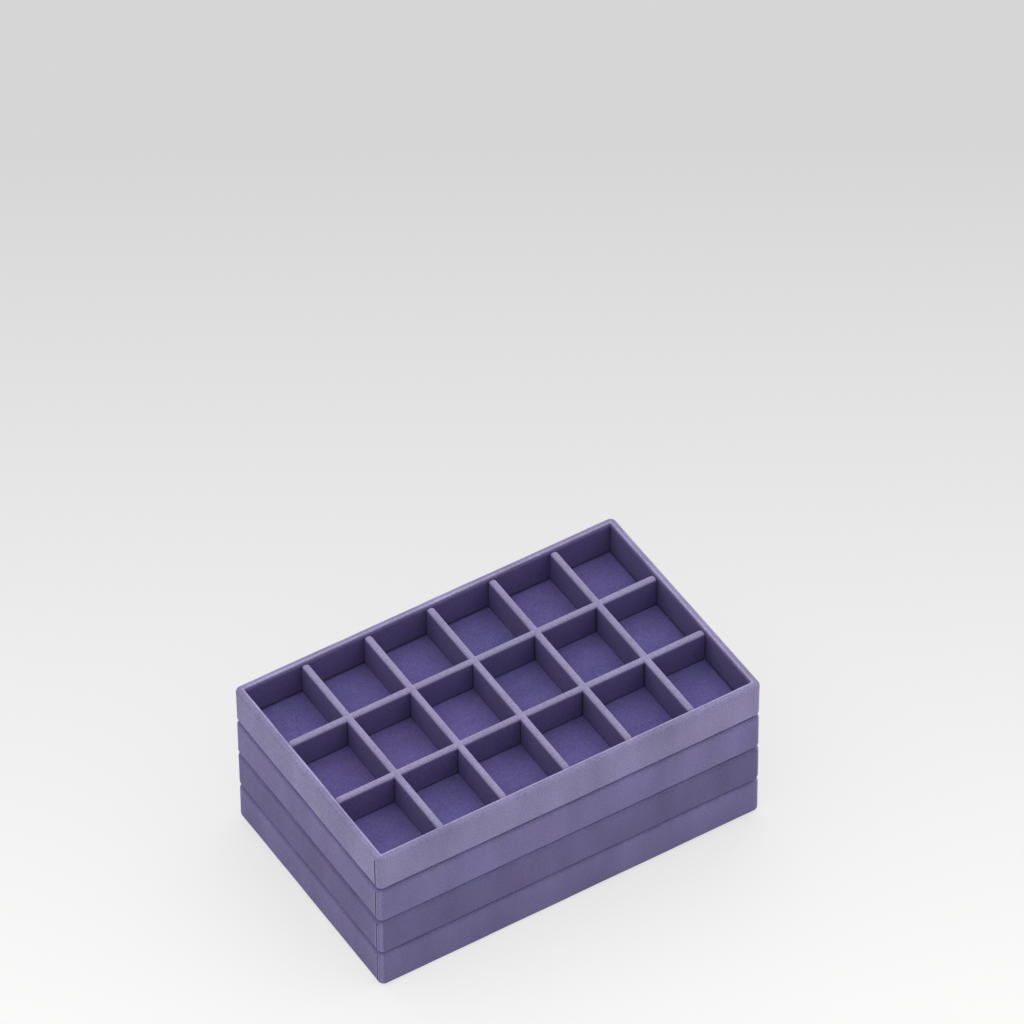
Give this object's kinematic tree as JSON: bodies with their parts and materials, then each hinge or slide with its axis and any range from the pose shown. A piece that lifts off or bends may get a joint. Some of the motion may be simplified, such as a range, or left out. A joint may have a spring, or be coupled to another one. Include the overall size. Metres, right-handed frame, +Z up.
{
  "type": "jewelry display tray",
  "caption": "Stack of shallow velvet trays for jewelry: small cells, larger compartments, ring rolls, and rolls beside compartments.",
  "frame": {"origin": "centre of the lowest tray's underside, on the surface it stands on", "axes": "+X along the long side to the right, +Y from the front to the back, +Z up, the way the trays lift off"},
  "size_m": [0.29, 0.18, 0.1209],
  "materials": {
    "wrap_velvet": "matte",
    "divider_velvet": "matte",
    "floor_velvet": "matte",
    "roll_velvet": "matte",
    "underside_felt": "matte",
    "grey_board": "matte"
  },
  "bodies": {
    "combo_tray": {"combo_tray_base_board": "grey_board", "combo_tray_front_board": "grey_board", "combo_tray_back_board": "grey_board", "combo_tray_left_board": "grey_board", "combo_tray_right_board": "grey_board", "combo_tray_velvet_wrap": "wrap_velvet", "combo_tray_underside_felt": "underside_felt", "combo_tray_floor_pad": "floor_velvet", "combo_tray_roll_bed": "floor_velvet", "combo_tray_cross_divider": "divider_velvet", "combo_tray_short_divider_1": "divider_velvet", "combo_tray_short_divider_2": "divider_velvet", "combo_tray_roll_1": "roll_velvet", "combo_tray_roll_2": "roll_velvet", "combo_tray_roll_3": "roll_velvet", "combo_tray_roll_4": "roll_velvet", "combo_tray_roll_5": "roll_velvet", "combo_tray_roll_6": "roll_velvet", "combo_tray_roll_7": "roll_velvet"},
    "ring_tray": {"ring_tray_base_board": "grey_board", "ring_tray_front_board": "grey_board", "ring_tray_back_board": "grey_board", "ring_tray_left_board": "grey_board", "ring_tray_right_board": "grey_board", "ring_tray_velvet_wrap": "wrap_velvet", "ring_tray_underside_felt": "underside_felt", "ring_tray_roll_bed": "floor_velvet", "ring_tray_roll_1": "roll_velvet", "ring_tray_roll_2": "roll_velvet", "ring_tray_roll_3": "roll_velvet", "ring_tray_roll_4": "roll_velvet", "ring_tray_roll_5": "roll_velvet", "ring_tray_roll_6": "roll_velvet", "ring_tray_roll_7": "roll_velvet"},
    "box_tray": {"box_tray_base_board": "grey_board", "box_tray_front_board": "grey_board", "box_tray_back_board": "grey_board", "box_tray_left_board": "grey_board", "box_tray_right_board": "grey_board", "box_tray_velvet_wrap": "wrap_velvet", "box_tray_underside_felt": "underside_felt", "box_tray_floor_pad": "floor_velvet", "box_tray_long_divider": "divider_velvet", "box_tray_cross_divider_1": "divider_velvet", "box_tray_cross_divider_2": "divider_velvet"},
    "cell_tray": {"cell_tray_base_board": "grey_board", "cell_tray_front_board": "grey_board", "cell_tray_back_board": "grey_board", "cell_tray_left_board": "grey_board", "cell_tray_right_board": "grey_board", "cell_tray_velvet_wrap": "wrap_velvet", "cell_tray_underside_felt": "underside_felt", "cell_tray_floor_pad": "floor_velvet", "cell_tray_long_divider_1": "divider_velvet", "cell_tray_long_divider_2": "divider_velvet", "cell_tray_cross_divider_1": "divider_velvet", "cell_tray_cross_divider_2": "divider_velvet", "cell_tray_cross_divider_3": "divider_velvet", "cell_tray_cross_divider_4": "divider_velvet", "cell_tray_cross_divider_5": "divider_velvet"}
  },
  "joints": [
    {"name": "ring_tray_lift", "type": "slide", "parent": "combo_tray", "child": "ring_tray", "axis": [0, 0, 1], "range_m": [0, 0.178]},
    {"name": "box_tray_lift", "type": "slide", "parent": "ring_tray", "child": "box_tray", "axis": [0, 0, 1], "range_m": [0, 0.137]},
    {"name": "cell_tray_lift", "type": "slide", "parent": "box_tray", "child": "cell_tray", "axis": [0, 0, 1], "range_m": [0, 0.143]}
  ]
}
